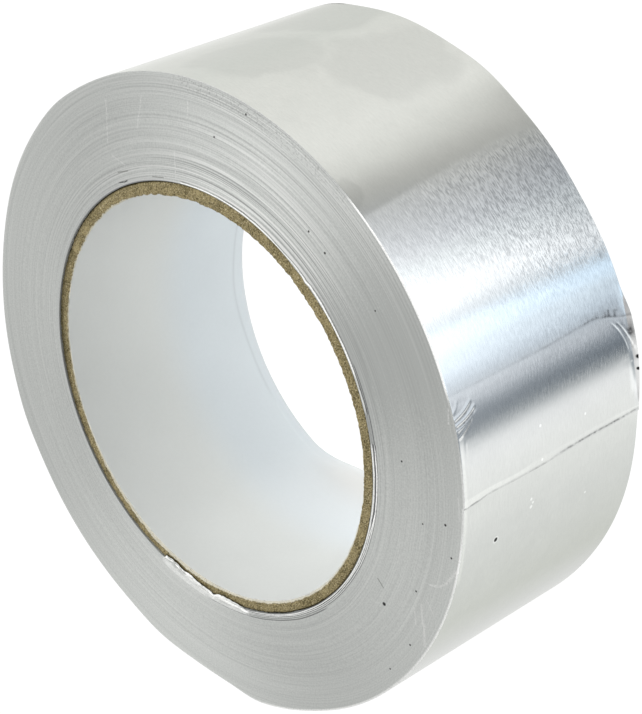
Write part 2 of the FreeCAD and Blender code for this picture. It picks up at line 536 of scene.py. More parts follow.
# %% [markdown]
# ### The bright face of the foil
# Foil is rolled thin between steel rolls, which leaves fine grooves along its length. They scatter a
# reflection across the tape and leave it sharp round the roll. A strong anisotropy does this: the
# shader's tangent runs round Z, and a quarter turn makes it rough along Z instead. Real grooves could be
# modelled, but they are thinner than any mesh. Soft ragged rounds make the foil's colour darker, flakes
# of clean foil are small pale dots that also glow a little as a painted glint, and a nick is a dark hole
# with a pale ring. Folds this tight always turn some speck of foil to a lamp. No mesh holds facets that
# small, so a little emission stands in for them as a painted glint.

# %% The foil's face
# Marks: degrees past the free end, then height, radius and size in mm.
NICKS = [
    (-9.6, 36.3, 59.5, 0.58), (7.8, 0.35, 60.2, 0.44), (9.9, 0.35, 60.4, 0.56),
]
FLAKES = [
    (-9.6, 36.3, 59.5, 0.85), (6.8, 25.6, 59.5, 0.35), (4.7, 14.2, 59.5, 0.3), (0.9, 25.6, 59.5, 0.35),
    (-5.5, 27.9, 59.5, 0.4), (-6.3, 27.4, 59.5, 0.35), (-7.0, 27.8, 59.5, 0.45), (-10.6, 12.9, 59.5, 0.3),
]
# Soft ragged rounds where the foil's colour is darker.
DARKER_ROUNDS = [
    (91.3, 33.2, 59.4, 10.5), (87.0, 27.3, 59.4, 10.5), (74.0, 15.0, 59.4, 11.5), (74.5, 8.5, 59.4, 10.0),
    (97.0, 7.0, 59.4, 13.0), (53.3, 43.4, 59.4, 3.2),
]
GRAIN_PER_METRE = (850, 850, 4400)
FOIL_ROUGHNESS = 0.10
FOIL_DARK, FOIL_LIGHT = (0.55, 0.555, 0.56), (1.0, 1.0, 0.995)
# Painted highlight and painted shade for the free end, crease, folds and top edge; near-black nicks.
PAINTED_HIGHLIGHT, PAINTED_SHADE, NICK_DARK = (1.0, 1.0, 0.99), (0.16, 0.16, 0.165), (0.03, 0.03, 0.03)
# A painted glint, given as emission.
FOIL_GLINT = (0.60, 0.62, 0.61)
# Rough across the tape and sharp along it.
ROLLED = {"anisotropic": 1.0, "anisotropic_rotation": 0.25}


def make_foil_face():
    """Rolled foil: grain with painted sparkle, darker rounds, folds' painted light and shade, flakes,
    nicks, glints.
    """
    material, w = new_finish("foil_face")
    place = place_on_roll(w)
    # The shadow and light masks hold painted shade and painted highlight.
    scuffed, shadow, light = w.attribute("scuffed"), w.attribute("shadow"), w.attribute("light")
    grain = w.noise(w.scaled(place, GRAIN_PER_METRE), 1.0, 2.0, 0.68)
    mottle = w.noise(place, 260, 3.0, 0.6)
    # Past the crease the grain's relief is deeper, and its colour carries a painted sparkle of
    # reflection.
    strength = 0.05 + scuffed * 0.95
    shade = 0.64 + (grain - 0.5) * strength * 5.0 + (mottle - 0.5) * 0.16
    shade = shade - spots(w, strayed(w, place, 90, 12 * MM), DARKER_ROUNDS, 0.7) * (0.03 + mottle * 0.24)
    # A fine noise breaks up the painted highlight and the painted shade.
    breakup = w.noise(place, 1500, 2.0, 0.6)
    colour = w.mix(shade, FOIL_DARK, FOIL_LIGHT)
    colour = w.mix(light * (0.3 + breakup * 1.4), colour, PAINTED_HIGHLIGHT)
    colour = w.mix(shadow * (breakup * 3.4 - 0.6), colour, PAINTED_SHADE)
    flakes = spots(w, place, FLAKES)
    colour = w.mix(flakes * 0.7, colour, WHITE)
    nicks = spots(w, place, NICKS)
    colour = w.mix(nicks, colour, NICK_DARK)
    # The glint mask and the flakes glow: painted glints, given as emission.
    glow = (w.attribute("glint") + flakes * 0.20) * (1 - nicks)
    heights = {"Strength": 1.0, "Distance": 0.05 * MM, "Height": (grain - 0.5) * strength}
    return coated(
        w, material, base_color=colour, metallic=1.0, roughness=FOIL_ROUGHNESS + shadow * 0.3,
        emission_color=w.mix(glow, BLACK, FOIL_GLINT), emission_strength=1.0,
        normal=w.add("ShaderNodeBump", {}, heights), **ROLLED,
    )


foil_face = make_foil_face()

# %% [markdown]
# ### The cut edges
# The side of the roll is some 140 cut edges of foil, adhesive and liner. Each turn is a little lighter
# or darker than the next, and stays so for part of a turn, so the noise is drawn out along the rings.
# Three noises do it: one turn at a time, the gaps in painted shade and the bright edges where turns
# stand apart, and broad bands. Cut-up scratches, specks of dirt and, on one stretch of the rim, peppered
# knocks lie over them. Painted shade darkens the side beside the free end, and the bare edges are white
# with a painted highlight and a painted glint, given as emission.

# %% The cut edges
SPECKS = [
    (5.2, 45.5, 46.8, 0.24), (-6.8, 45.2, 51.0, 0.2), (-4.7, 45.0, 55.6, 0.3), (-10.3, 45.0, 57.5, 0.25),
    (-22.0, 45.1, 52.5, 0.24), (-31.0, 45.4, 48.4, 0.45), (-33.5, 45.0, 56.2, 0.25),
    (-42.1, 45.0, 56.6, 0.22), (83.5, 45.2, 50.8, 0.25), (76.4, 45.0, 57.6, 0.25),
    (55.2, 45.4, 47.9, 0.25), (35.3, 45.2, 50.8, 0.2), (49.8, 45.4, 47.8, 0.28),
]
# Scratches over the side, each from a place to a place and how wide: degrees past the free end and mm.
LIGHT_SCRATCHES = [
    ((103.0, 55.3), (106.2, 49.7), 0.22),
    ((113.5, 55.6), (117.0, 48.6), 0.28),
    ((-23.8, 54.3), (-27.3, 56.1), 0.36),
    ((-27.1, 56.3), (-30.6, 58.4), 0.52),
    ((-25.7, 53.4), (-28.6, 55.0), 0.26),
    ((-22.0, 55.0), (-23.6, 57.3), 0.20),
    ((-18.5, 54.5), (-17.3, 56.4), 0.36),
    ((-17.3, 56.4), (-15.6, 57.6), 0.34),
    ((-15.6, 57.6), (-12.2, 58.9), 0.50),
    ((-2.5, 58.6), (1.4, 58.3), 0.30),
    ((14.0, 58.2), (16.5, 58.9), 0.28),
    ((95.2, 45.8), (95.5, 41.4), 0.22),
    ((90.6, 55.3), (90.8, 52.5), 0.20),
    ((113.5, 44.0), (117.0, 46.2), 0.30),
]
DARK_SCRATCHES = [
    ((-27.5, 46.8), (-26.6, 45.2), 0.20),
    ((113.0, 42.8), (116.8, 43.1), 0.20),
    ((100.0, 41.1), (104.0, 41.2), 0.16),
]


def scratch(wiring, place, start, stop, width):
    """1 along a line over the side and 0 beyond width: from and to degrees past the free end and mm."""
    ends = [FREE_END + math.radians(past) for past, _ in (start, stop)]
    first, last = (
        Vector((radius * MM * math.cos(angle), radius * MM * math.sin(angle), 0.0))
        for angle, (_, radius) in zip(ends, (start, stop))
    )
    along = last - first
    from_first = wiring.add("ShaderNodeVectorMath", {"operation": "SUBTRACT"}, [place, first])
    dotted = [from_first, along / along.length_squared]
    share = wiring.add("ShaderNodeVectorMath", {"operation": "DOT_PRODUCT"}, dotted, output=1)
    share = wiring.between(share, 0, 1, smooth=False)
    inputs = {"Vector": along, "Scale": share}
    nearest = wiring.add("ShaderNodeVectorMath", {"operation": "SCALE"}, inputs)
    apart = [from_first, nearest]
    distance = wiring.add("ShaderNodeVectorMath", {"operation": "DISTANCE"}, apart, output=1)
    return wiring.between(distance, width * MM, 0)


def scratches(wiring, place, listed):
    """The strongest of several scratches at each place."""
    flat = wiring.scaled(place, (1, 1, 0))
    marks = 0.0
    for start, stop, width in listed:
        mark = scratch(wiring, flat, start, stop, width)
        marks = mark.math("MAXIMUM", mark, marks)
    return marks


EDGE_ROUGHNESS = 0.40
EDGE_DARK, EDGE_LIGHT = (0.62, 0.638, 0.615), (0.84, 0.86, 0.83)
# White for edges and scratches, the painted highlight on bare edges, and their painted glint in emission.
EDGE_WHITE, BARE_WHITE, EDGE_GLINT = (1.0, 1.0, 0.98), (1.0, 1.0, 0.985), (0.34, 0.34, 0.33)
# Painted shade in the gaps between turns.
RING_GAP_SHADE, TURN_GAP_SHADE = (0.16, 0.16, 0.165), (0.10, 0.10, 0.11)
SCRATCH_DARK, KNOCK_DARK, SPECK_DARK = (0.12, 0.12, 0.10), (0.22, 0.22, 0.21), (0.04, 0.04, 0.04)


def make_cut_edges():
    """Grey metal in fine rings: white bare edges, painted highlight and shade, scratches, specks and
    knocks.
    """
    material, w = new_finish("cut_edges")
    place = place_on_roll(w)
    apart = w.attribute("apart")
    fine = w.noise(drawn_along_rings(w, place, 1.8, 4300), 1.0, 1.0, 0.5)
    rings = w.noise(drawn_along_rings(w, place, 1.6, 4500), 1.0, 0.0, 0.5)
    bands = w.noise(drawn_along_rings(w, place, 1.2, 1000), 1.0, 1.0, 0.5)
    grit = w.noise(place, 3000, 2.0, 0.65)
    # Gaps between turns that stand apart are darkened with painted shade.
    gaps = w.between(rings, 0.46, 0.30) * apart
    edges = w.between(rings, 0.54, 0.70) * apart
    shade = 0.5 + (fine - 0.5) * (0.28 + apart * 1.9) + (bands - 0.5) * (0.35 + apart * 0.3)
    # Painted shade darkens the side beside the free end.
    shade = shade + (grit - 0.5) * 1.5 - w.attribute("dull") * 0.62
    colour = w.mix(shade, EDGE_DARK, EDGE_LIGHT)
    colour = w.mix(edges * 0.8, colour, EDGE_WHITE)
    colour = w.mix(gaps * 0.48, colour, RING_GAP_SHADE)
    colour = w.mix(scratches(w, place, LIGHT_SCRATCHES) * (grit * 1.8 - 0.5), colour, EDGE_WHITE)
    colour = w.mix(scratches(w, place, DARK_SCRATCHES) * 0.6, colour, SCRATCH_DARK)
    peppered = w.between(w.noise(place, 3300, 1.0, 0.5), 0.54, 0.66) * w.attribute("worn_rim")
    colour = w.mix(peppered * 0.36, colour, KNOCK_DARK)
    # Bare edges: white, with a painted highlight on the rim and on the crumpled foil.
    colour = w.mix(w.attribute("bare_edge"), colour, BARE_WHITE)
    # Painted shade in the gaps of the inner turns and beside the board.
    colour = w.mix(w.attribute("gap"), colour, TURN_GAP_SHADE)
    colour = w.mix(spots(w, place, SPECKS), colour, SPECK_DARK)
    # A painted glint on the bare edges, given as emission.
    glint = w.mix(w.attribute("bare_edge") * w.between(grit, 0.30, 0.55), BLACK, EDGE_GLINT)
    relief = (fine - 0.5) * (0.3 + apart * 0.7) + (grit - 0.5) * 0.6
    heights = {"Strength": 0.5, "Distance": 0.04 * MM, "Height": relief}
    return coated(
        w, material, base_color=colour, metallic=0.8 - w.attribute("bare_edge") * 0.5,
        roughness=EDGE_ROUGHNESS, emission_color=glint, emission_strength=1.0,
        normal=w.add("ShaderNodeBump", {}, heights), **ROLLED,
    )


cut_edges = make_cut_edges()

# %% [markdown]
# ### Raw board
# The cut end of the tube shows the paper fibres: a brown ground with lighter flecks and dark pits a few
# tenths of a millimetre across. Its rim beside the lining is torn and pale, and where it lies low beside
# the foil it is darkened with painted shade.

# %% The raw board
BOARD_DARK, BOARD_LIGHT = (0.12, 0.10, 0.045), (0.50, 0.415, 0.225)
BOARD_FLECK, BOARD_PIT = (0.78, 0.68, 0.46), (0.06, 0.045, 0.025)
# Pale torn board, and the painted shade where the board lies low beside the foil.
BOARD_TORN, BOARD_SHADE = (0.86, 0.82, 0.68), (0.045, 0.038, 0.015)


def make_raw_board():
    """Brown board: mottled fibres, pale flecks, dark pits, a torn pale rim, and painted shade by the
    foil.
    """
    material, w = new_finish("raw_board")
    place = place_on_roll(w)
    mottle = w.noise(place, 3200, 3.0, 0.75)
    patches = w.noise(place, 420, 2.0, 0.5)
    flecks = w.between(w.noise(place, 4200, 1.0, 0.5), 0.62, 0.72)
    pits = w.between(w.noise(w.scaled(place, (1, 1, 1), (0.3, 0.1, 0.2)), 3400, 1.0, 0.5), 0.38, 0.28)
    shade = 0.5 + (mottle - 0.5) * 3.4 + (patches - 0.5) * 1.0
    colour = w.mix(shade, BOARD_DARK, BOARD_LIGHT)
    colour = w.mix(flecks * 0.85, colour, BOARD_FLECK)
    colour = w.mix(pits * 0.85, colour, BOARD_PIT)
    colour = w.mix(w.attribute("torn") * (0.35 + mottle * 1.1), colour, BOARD_TORN)
    # Painted shade where the board lies low beside the foil.
    colour = w.mix(w.attribute("sunk"), colour, BOARD_SHADE)
    heights = {"Strength": 0.8, "Distance": 0.12 * MM, "Height": mottle - pits * 0.5}
    return coated(
        w, material, base_color=colour, roughness=0.95, specular_ior_level=0.2,
        normal=w.add("ShaderNodeBump", {}, heights),
    )


raw_board = make_raw_board()

# %% [markdown]
# ### The white lining
# A smooth, thin, matt paper. Its torn end is a little warmer, because the fibres there let light through.
# Deep in the bore it is painted a cooler white, the tint of the light there, and a pressed line runs
# round near its far end. Where a flap of it has come loose, it faces the light, and that light is painted
# in: the flap and the wall beside it are painted paler.

# %% The white lining
PAPER_WARM = (0.62, 0.63, 0.612), (0.72, 0.73, 0.71)
# A cooler copy of the paper, painted in for the tint of the light deep in the bore.
PAPER_COOL = (0.595, 0.63, 0.65), (0.69, 0.73, 0.75)
# Painted light for the loose flap, then a grey pressed line and the warm torn end.
PAPER_PAINTED_LIGHT, PAPER_PRESSED, PAPER_TORN = (0.86, 0.85, 0.83), (0.40, 0.42, 0.44), (0.88, 0.84, 0.72)


def make_white_lining():
    """White paper: faint clouds, painted cool tint deep down, warm torn end, grey pressed line, painted
    light.
    """
    material, w = new_finish("white_lining")
    place = place_on_roll(w)
    clouds = w.noise(place, 60, 3.0, 0.5)
    fibre = w.noise(place, 1500, 2.0, 0.6)
    _, _, height = place.split()
    end = w.between(height, CORE_TOP - 0.30 * MM, CORE_TOP - 0.10 * MM)
    # Deeper down the paper is painted cooler, for the tint of the light there.
    deep = w.between(height, 27 * MM, 15 * MM)
    shade = 0.5 + (clouds - 0.5) * 0.6 + (fibre - 0.5) * 0.3
    warm = w.mix(shade, *PAPER_WARM)
    cool = w.mix(shade, *PAPER_COOL)
    colour = w.mix(deep, warm, cool)
    # Painted light on the loose flap and on the wall beside it.
    colour = w.mix(w.attribute("pale"), colour, PAPER_PAINTED_LIGHT)
    colour = w.mix(w.attribute("line") * 0.34, colour, PAPER_PRESSED)
    colour = w.mix(end, colour, PAPER_TORN)
    heights = {"Strength": 0.3, "Distance": 0.02 * MM, "Height": fibre}
    return coated(
        w, material, base_color=colour, roughness=0.75, specular_ior_level=0.3,
        normal=w.add("ShaderNodeBump", {}, heights),
    )


white_lining = make_white_lining()

print("finishes:", ", ".join(m.name for m in (foil_face, cut_edges, raw_board, white_lining)))

# %% [markdown]
# ## Surfaces from arrays
# Every piece of the roll is a section carried round the axis, so one function builds them all: a grid of
# points whose rows follow the section and whose columns go round. Rows run up the outside, in over the
# top, down the inside and out under the bottom, which makes every face point outwards. A Screw modifier
# could carry a section round too, but then nothing could differ from one side of the roll to the other.

# %% Grids and noise
SPACING_TRIALS = 20001


def ring_mesh(name, points, materials, row_material=None, attributes=None):
    """A closed surface from points[row, column, 3], where both rows and columns join up end to end.

    row_material gives a material number for the strip of faces after each row. attributes are
    named arrays of one value a point, which the materials can read.
    """
    rows, columns, _ = points.shape
    index = np.arange(rows * columns).reshape(rows, columns)
    right, up = np.roll(index, -1, axis=1), np.roll(index, -1, axis=0)
    corner = np.roll(right, -1, axis=0)
    faces = np.stack([index, right, corner, up], axis=-1).reshape(-1, 4)
    mesh = bpy.data.meshes.new(name)
    mesh.vertices.add(rows * columns)
    mesh.vertices.foreach_set("co", points.astype(np.float32).ravel())
    mesh.loops.add(faces.size)
    mesh.loops.foreach_set("vertex_index", faces.astype(np.int32).ravel())
    mesh.polygons.add(len(faces))
    mesh.polygons.foreach_set("loop_start", np.arange(0, faces.size, 4, dtype=np.int32))
    mesh.update(calc_edges=True)
    mesh.validate()
    mesh.polygons.foreach_set("use_smooth", np.ones(len(faces), dtype=bool))
    if row_material is not None:
        mesh.polygons.foreach_set("material_index", np.repeat(row_material, columns).astype(np.int32))
    for key, values in (attributes or {}).items():
        layer = mesh.attributes.new(key, "FLOAT", "POINT")
        layer.data.foreach_set("value", values.astype(np.float32).ravel())
    for material in materials:
        mesh.materials.append(material)
    mesh.update()
    piece = bpy.data.objects.new(name, mesh)
    bpy.context.scene.collection.objects.link(piece)
    print(f"{name}: {rows} rows of {columns}, {2 * len(faces)} triangles")
    return piece


def on_ring(radius, height, angle):
    """Points at a radius and height from the axis, at an angle anticlockwise from +X."""
    radius, height, angle = np.broadcast_arrays(radius, height, angle)
    return np.stack([radius * np.cos(angle), radius * np.sin(angle), height], axis=-1)


def spaced(start, stop, spacing):
    """Values from start to stop whose gaps are spacing(value)."""
    trial = np.linspace(start, stop, SPACING_TRIALS)
    gaps = np.diff(trial) / spacing((trial[1:] + trial[:-1]) / 2)
    count = np.concatenate([[0], np.cumsum(gaps)])
    return np.interp(np.linspace(0, count[-1], int(count[-1]) + 2), count, trial)


def ramp(value, low, high):
    """0 below low, 1 above high, with a smooth rise between. Low may be the larger."""
    share = np.clip((value - low) / (high - low), 0, 1)
    return share * share * (3 - 2 * share)


def stretch(value, start, stop, soft):
    """1 from start to stop, falling to 0 over soft beyond both."""
    return ramp(value, start - soft, start) * ramp(value, stop + soft, stop)


def ridge(distance, width):
    """A bell of height 1 whose foot is about two widths away."""
    return np.exp(-(distance / width) ** 2)


def random_field(around, across, knots_around, knots_across, random, sharp=False):
    """Random values from -1 to 1 on a lattice, blended between its knots.

    around goes from 0 to 1 once round the roll and joins up; across goes from 0 to 1 over the
    lattice. A sharp field is blended in straight lines, which leaves flat facets and creases.
    """
    lattice = random.uniform(-1, 1, (knots_across + 2, knots_around))
    u = (around % 1.0) * knots_around
    v = np.clip(across, 0, 1) * knots_across
    u, v = np.broadcast_arrays(u, v)
    column, row = np.floor(u).astype(int), np.floor(v).astype(int)
    s, t = u - column, v - row
    if not sharp:
        s, t = s * s * (3 - 2 * s), t * t * (3 - 2 * t)
    column, following = column % knots_around, (column + 1) % knots_around
    low = lattice[row, column] * (1 - s) + lattice[row, following] * s
    high = lattice[row + 1, column] * (1 - s) + lattice[row + 1, following] * s
    return low * (1 - t) + high * t


# %% [markdown]
# ## The wound turns
# The outside is one turn of a spiral: at the free end it is a tape's thickness further out than the turn
# below it, and it comes in by that much over one turn. The free end was lifted and pressed back, so it
# left a crease across the tape 19 mm before its end, with small wrinkles at both edges. Places round the
# roll are given in degrees past the free end, the way the tape is wound. The roll could be one long strip
# wound 140 times, but nothing between the turns is ever seen. So one closed ring has the step of the free
# end, and its sides show the turns as relief and tone.

# %% The outer face of the tape
CREASE = 18.45
CREASE_LIFT, CREASE_SPREAD = 0.012 * MM, 2.0 * MM
SLOW_WAVE, FINE_DENTS, FACETS = 0.020 * MM, 0.004 * MM, 0.010 * MM
EDGE_ROLL, EDGE_ROLL_START = 0.05 * MM, -26
TAIL_LIFT, TAIL_WANDER, TAIL_HOLD = 0.08 * MM, 0.2, 1.1
RIM_ROUNDING = 0.12 * MM
FOLD_WIDTH, GLINT_WIDTH = 0.22, 0.13
# A fold this high is as pale or dark as it can be.
FOLD_TONE = 0.05 * MM
DEGREE_ARC = math.radians(1) * ROLL_RADIUS

# The roll is not quite round. Each of these is a bulge or a flat: its middle in degrees past the free
# end, how far it reaches to each side, and how far it stands out at the foot and at the top in mm.
BULGES = [
    (84, 17, 1.0, 0.0),
    (65, 9, 0.66, 0.0),
    (100, 6, 0.35, 0.0),
    (100, 12, 0.50, 0.0),
    (-109, 8, 0.0, 0.52),
    (-84, 5, 0.0, 0.40),
    (-159, 8, 0.0, 0.35),
    (38, 10, -0.35, 0.0),
    (-80, 11, 0.0, 0.95),
    (-66, 20, 0.0, 0.45),
    (-135, 28, 0.0, 0.40),
    (167, 20, 0.0, -0.60),
    (128, 9, 0.0, 0.30),
    (-20, 20, 0.30, 0.0),
]
# Where the free end was pulled, the foot of the tape flares out over a few millimetres.
FLARE_START, FLARE_FULL, FLARE_STOP, FLARE_SOFT = -4, 12, 22.5, 6
FLARE_OUT, FLARE_HEIGHT = 1.25, 0.35
# A bulge at the foot dies away upwards by this power, and one at the top goes down in a straight line.
FOOT_FADE = 2.5

# Small folds where the crease runs out at the two edges: from a place to a place, each given as
# degrees past the free end and mm above the foot of the tape, then how far it stands out and how far
# it bows back towards the free end, in mm.
EDGE_FOLDS = [
    ((17.6, 43.4), (15.6, 45.0), 0.018, 0.35),
    ((16.7, 40.2), (14.6, 44.9), 0.034, 0.35),
    ((16.2, 39.9), (14.1, 44.7), -0.026, 0.35),
    ((15.6, 39.5), (13.6, 44.6), 0.036, 0.35),
    ((15.1, 39.4), (13.2, 44.5), -0.030, 0.35),
    ((14.7, 40.2), (12.8, 44.6), 0.028, 0.35),
    ((14.1, 40.7), (11.6, 44.5), 0.034, 0.35),
    ((13.9, 41.2), (11.9, 43.4), -0.022, 0.35),
    ((11.0, 43.3), (6.7, 43.6), 0.016, 0.0),
    ((17.8, 5.2), (9.5, 1.0), 0.030, 0.78),
    ((16.8, 3.9), (11.6, 0.5), -0.022, 0.6),
    ((17.3, 3.6), (10.2, 0.05), 0.034, 0.66),
    ((16.4, 2.4), (12.4, -0.2), -0.016, 0.2),
    ((23.0, 1.1), (17.1, 1.3), 0.024, 0.0),
]
# Folds whose tops get a painted glint: from, to, how far they bow, and how bright they are.
GLINTS = [
    ((17.8, 5.2), (10.2, 1.15), 0.78, 0.85),
    ((17.3, 3.6), (10.2, 0.05), 0.70, 0.95),
]


def outer_radius(past):
    """The spiral: the roll's radius at the free end, and one tape's thickness less a turn later."""
    return ROLL_RADIUS - TAPE_THICKNESS * past / 360


def from_free_end(past):
    """The same place in degrees from the free end, between -180 and 180."""
    return (past + 180) % 360 - 180


def away(past, middle):
    """Degrees between a place and a middle, the short way round."""
    return np.abs(from_free_end(past - middle))


def crease_at(across):
    """Where the crease runs: straight over most of the tape, and hooked back at its foot."""
    return CREASE + 0.4 * ramp(across, 0.5, 0.22) - 1.9 * ramp(across, 0.2, -0.02)


def along_line(past, height, start, stop, bow, width):
    """1 on a bowed line from start to stop and 0 beside it, and each place's share of the way."""
    along = np.array([(stop[0] - start[0]) * DEGREE_ARC, (stop[1] - start[1]) * MM])
    length = np.hypot(*along)
    across_u, across_v = (past - start[0]) * DEGREE_ARC, height - start[1] * MM
    place = (across_u * along[0] + across_v * along[1]) / length**2
    share = np.clip(place, 0, 1)
    aside = (across_u * along[1] - across_v * along[0]) / length + bow * MM * np.sin(math.pi * share)
    return ridge(np.hypot(aside, (place - share) * length), width * MM), share


def fold(past, height, start, stop, stand_out, bow):
    """How far a fold lifts the foil: a narrow ridge along a bowed line that rises from its start."""
    shape, share = along_line(past, height, start, stop, bow, FOLD_WIDTH)
    return stand_out * MM * shape * ramp(share, 0, 0.2)


def out_of_round(past, height):
    """How far the bulges and the flare stand out from the spiral."""
    share = np.clip(height / TAPE_WIDTH, 0, 1)
    stand_out = 0 * past * share
    for middle, reach, foot, top in BULGES:
        at_height = foot * (1 - share) ** FOOT_FADE + top * share
        stand_out += ridge(away(past, middle), reach * 0.8) * at_height * MM
    from_end = from_free_end(past)
    flare = ramp(from_end, FLARE_START, FLARE_FULL) * ramp(from_end, FLARE_STOP, FLARE_STOP - FLARE_SOFT)
    return stand_out + flare * FLARE_OUT * MM * np.exp(-height / (FLARE_HEIGHT * MM))


def face_relief(past, height, random):
    """How far the outer face of the tape stands out from the spiral, at each place on it.

    It is a sum: a slow wave, fine dents, a ridge along the crease, the folds, the rolled upper edge,
    facets where the foil was handled, and the free end, which stands off by a wandering amount.
    """
    around, across = past / 360, height / TAPE_WIDTH
    relief = SLOW_WAVE * random_field(around, across, 34, 2, random)
    relief += FINE_DENTS * random_field(around, across, 90, 8, random)
    from_crease = np.abs(past - crease_at(across)) * DEGREE_ARC
    relief += CREASE_LIFT * np.clip(1 - from_crease / CREASE_SPREAD, 0, 1)
    for listed in EDGE_FOLDS:
        relief += fold(past, height, *listed)
    rolled = stretch(past, EDGE_ROLL_START, CREASE - 6, 3) * ridge(TAPE_WIDTH - height, 1.0 * MM)
    relief += EDGE_ROLL * rolled
    handled = stretch(past, 0.5, CREASE - 1, 1.0)
    from_edge = np.minimum(height + 0.6 * MM, TAPE_WIDTH - height)
    facets = random_field(around, across, 300, 18, random, sharp=True)
    relief += FACETS * handled * facets * ridge(from_edge, 4 * MM)
    lifted = 0.5 + 0.5 * random_field(around * 0, across, 1, 9, random)
    relief += TAIL_LIFT * lifted * np.exp(-past / TAIL_HOLD)
    return relief + out_of_round(past, height)


crease_in = CREASE * DEGREE_ARC / MM
print(f"outer face: {len(BULGES)} bulges, {len(EDGE_FOLDS)} folds, a crease {crease_in:.1f} mm in")

# %% [markdown]
# ### Marks on the outer face
# Past the crease the grain shows strongly: its relief is deeper there and its colour carries a painted
# sparkle of reflection, in a patch with a slanting far side. The free end is a line of painted shadow
# with a painted highlight past it, and the crease is a line of painted shade that turns to a painted
# highlight and breaks into dashes of painted shade near the foot. Folds have a painted highlight on one
# flank and painted shade on the other, the top edge by the free end has a painted highlight, and two
# places low on the tape have painted shade. These are masks at the mesh's points, worked out from the
# same lines as the relief, so they can't slip off it. They could be painted in an image, but then a
# change of size would need a new one. Low beside the crease the flared foot and the tops of two folds
# have a painted glint, given as emission.

# %% The marks on the outer face


def grain_sparkle_at(past, across, random):
    """Where grain and its painted sparkle are strong: between two ragged edges, less to the tape's top.
    """
    around = past / 360
    outer_edge = 49.2 + 2.7 * (1 - across**2) + 0.3 * random_field(around * 0, across, 1, 30, random)
    inner_edge = 10.8 + 0.5 * random_field(around * 0, across, 1, 20, random)
    scuffed = ramp(past, outer_edge + 0.6, outer_edge - 2.4)
    scuffed = scuffed * ramp(past, inner_edge - 0.7, inner_edge + 0.7)
    strongest = ramp(past, 25, 31)
    scuffed = scuffed * (0.27 + 0.73 * strongest) * (1 - 0.72 * ramp(across, 0.3, 0.95))
    scuffed = scuffed * (1 + 0.3 * ridge(past - 36, 6) * ramp(across, 0.5, 0.2))
    scuffed = scuffed * (1 - 0.55 * ramp(across, 0.3, 0.6) * ramp(past, 38, 33) * strongest)
    return scuffed * (0.85 + 0.15 * random_field(around, across, 60, 8, random))


def free_end_marks(from_end, across, ragged, slow):
    """Painted shadow along the free end, straying by part of a degree, and a painted highlight past it.
    """
    line = 0.38 - 0.30 * ramp(across, 0.42, 0.58) - 0.25 * ramp(across, 0.86, 0.94) + 0.05 * ragged
    depth = 0.14 + 0.22 * ramp(across, 0.50, 0.38) + 0.20 * ramp(across, 0.84, 0.92)
    dark = ridge(from_end - line, 0.21) * depth * 1.35 * (1 + 0.35 * slow + 0.25 * ragged)
    dark += 0.10 * ridge(from_end + 0.05, 0.12) * (1 + ragged)
    # How strong the painted highlight past the free end is, by height on the tape.
    pressed = 0.35 + 0.65 * ramp(across, 0.55, 0.7) + 0.4 * ramp(across, 0.2, 0.08)
    pale = 0.55 * stretch(from_end, line + 0.38, 1.2 + 0.3 * slow, 0.25) * pressed
    pale += 0.25 * ridge(from_end - line + 0.6, 0.2) * ramp(across, 0.2, 0.05)
    return dark, pale


def crease_marks(past, across, ragged, random):
    """Painted shade along the crease, and low down a painted highlight beside it and dashes of painted
    shade.
    """
    from_crease = past - crease_at(across)
    dark = ridge(from_crease, 0.24) * (0.10 + 0.16 * ramp(across, 0.75, 0.2)) * (1 + 0.3 * ragged)
    dashes = np.clip(random_field(past / 10, across, 9, 70, random, sharp=True) * 1.6 - 0.2, 0, 1)
    dark += 0.55 * stretch(from_crease, 0.1, 1.1, 0.3) * ramp(across, 0.3, 0.15) * dashes
    pale = 0.95 * ridge(from_crease + 0.25, 0.24) * ramp(across, 0.16, 0.1) * (1 + 0.4 * ragged)
    return dark, pale


def foot_shade(past, from_end, height, ragged):
    """Painted shade at two places low on the tape: one beside the folds, one further round the roll."""
    beside_folds = np.hypot((past - 14.5) / 1.1, (height / MM - 0.6) / 0.55)
    further_round = ridge(height - 0.2 * MM, 0.35 * MM) * stretch(from_end, 97.5, 101.5, 1.5)
    return 0.7 * ridge(beside_folds, 0.85) * (1 + 0.3 * ragged) + 0.55 * further_round


def glinting(past, from_end, height, ragged):
    """Where the flared foot and the tops of two folds have a painted glint, from 0 to 1."""
    foot = 0.40 * ramp(from_end, 1.5, 6) * ramp(from_end, 10.2, 8.9) * ramp(height, 1.3 * MM, 0.7 * MM)
    above = 0.24 * stretch(from_end, 5, 12.6, 2) * ramp(height, 2.2 * MM, 1.4 * MM)
    glint = np.maximum(foot, above)
    for start, stop, bow, brightness in GLINTS:
        shape, share = along_line(past, height, start, stop, bow, GLINT_WIDTH)
        fading = ramp(share, 0.05, 0.3) * ramp(share, 1.05, 0.7) * (1 + 0.2 * ragged)
        glint = np.maximum(glint, brightness * shape * fading)
    return glint


